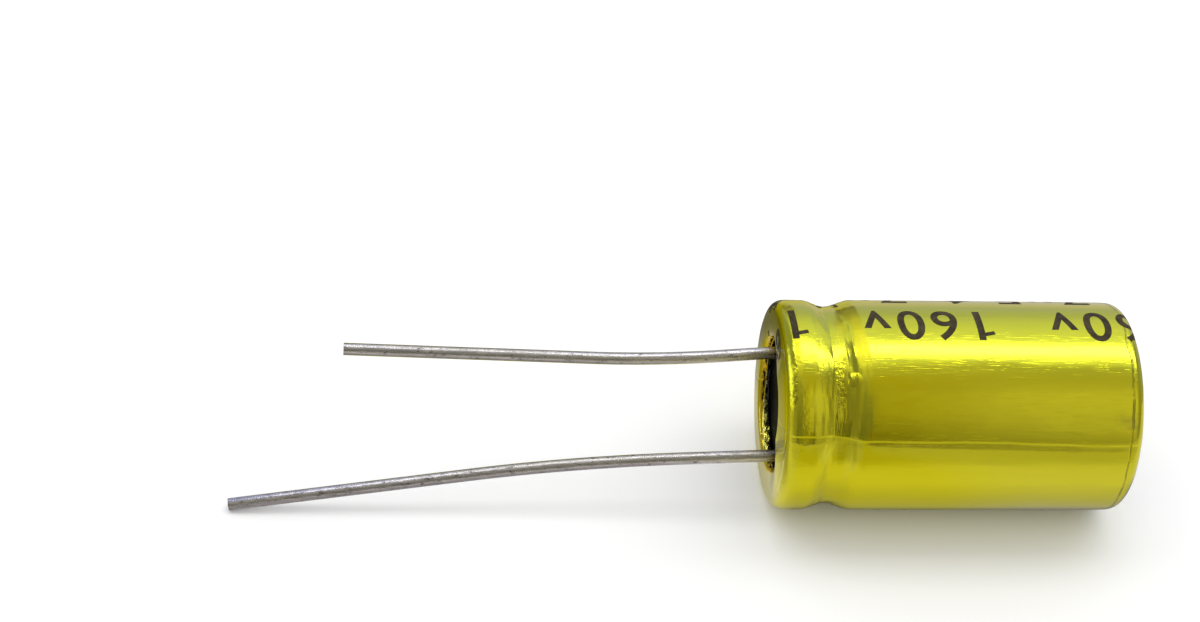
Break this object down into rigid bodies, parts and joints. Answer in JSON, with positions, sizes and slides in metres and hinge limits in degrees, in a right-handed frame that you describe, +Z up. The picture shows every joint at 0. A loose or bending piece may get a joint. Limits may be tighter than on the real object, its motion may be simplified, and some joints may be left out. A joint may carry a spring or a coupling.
{
  "type": "non-polarized electrolytic capacitor",
  "caption": "Radial non-polarized electrolytic capacitor: sleeved aluminium can with a pressed groove and rubber seal, two wire leads of unequal length, lying on its side.",
  "frame": {"origin": "centre of the seating face, where the sleeve is folded over the can's rim at the leads' end", "axes": "+X along the can's axis from the leads' end to the closed end, +Z up as it lies on its side, leads towards -X"},
  "size_m": [0.0432, 0.0102, 0.0102],
  "materials": {
    "film": "transparent yellow-green shrink film over aluminium, glossy",
    "can_aluminium": "drawn, bright",
    "seal_rubber": "moulded, dull black",
    "lead_tin": "tinned, satin, finely scratched",
    "tab_aluminium": "satin",
    "foil_aluminium": "etched, dull",
    "separator_paper": "soaked kraft paper",
    "tape_film": "thin adhesive tape"
  },
  "bodies": {
    "root": {"sleeve": "film", "can": "can_aluminium", "rubber_seal": "seal_rubber", "long_lead_wire": "lead_tin", "short_lead_wire": "lead_tin", "long_lead_tab": "tab_aluminium", "short_lead_tab": "tab_aluminium", "long_lead_foil": "foil_aluminium", "short_lead_foil": "foil_aluminium", "inner_separator": "separator_paper", "outer_separator": "separator_paper", "winding_tape": "tape_film"}
  },
  "joints": []
}
